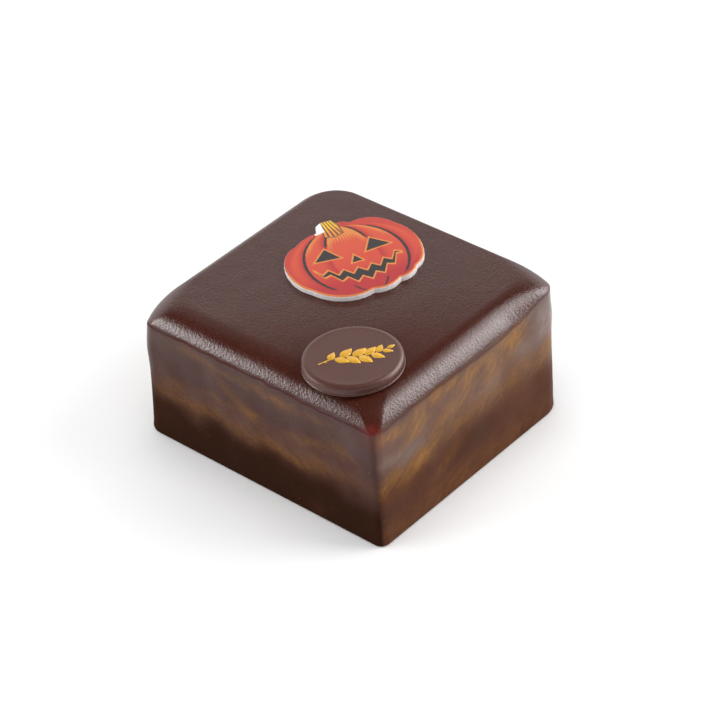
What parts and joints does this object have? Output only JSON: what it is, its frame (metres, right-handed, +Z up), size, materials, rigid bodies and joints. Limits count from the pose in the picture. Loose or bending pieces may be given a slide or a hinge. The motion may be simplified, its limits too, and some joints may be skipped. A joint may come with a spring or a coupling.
{
  "type": "opera cake",
  "caption": "Small whole opera cake under dark chocolate glaze, near square with a rounded top edge, with a pumpkin-shaped sugar plaque and a round chocolate disc lying on its flat top.",
  "frame": {"origin": "middle of the cake's base, on the surface it stands on", "axes": "+Z up; +X and -Y are the two side walls that show in the picture, and +X runs along the longer side"},
  "size_m": [0.1125, 0.0993, 0.0587],
  "materials": {
    "glaze": "dark chocolate glaze, satin gloss with fine orange-peel bumps",
    "printed_sugar": "white sugar sheet with an orange-red printed top",
    "dark_chocolate": "moulded dark chocolate, satin"
  },
  "bodies": {
    "root": {"glazed_cake": "glaze", "pumpkin_plaque": "printed_sugar", "chocolate_disc": "dark_chocolate"}
  },
  "joints": []
}
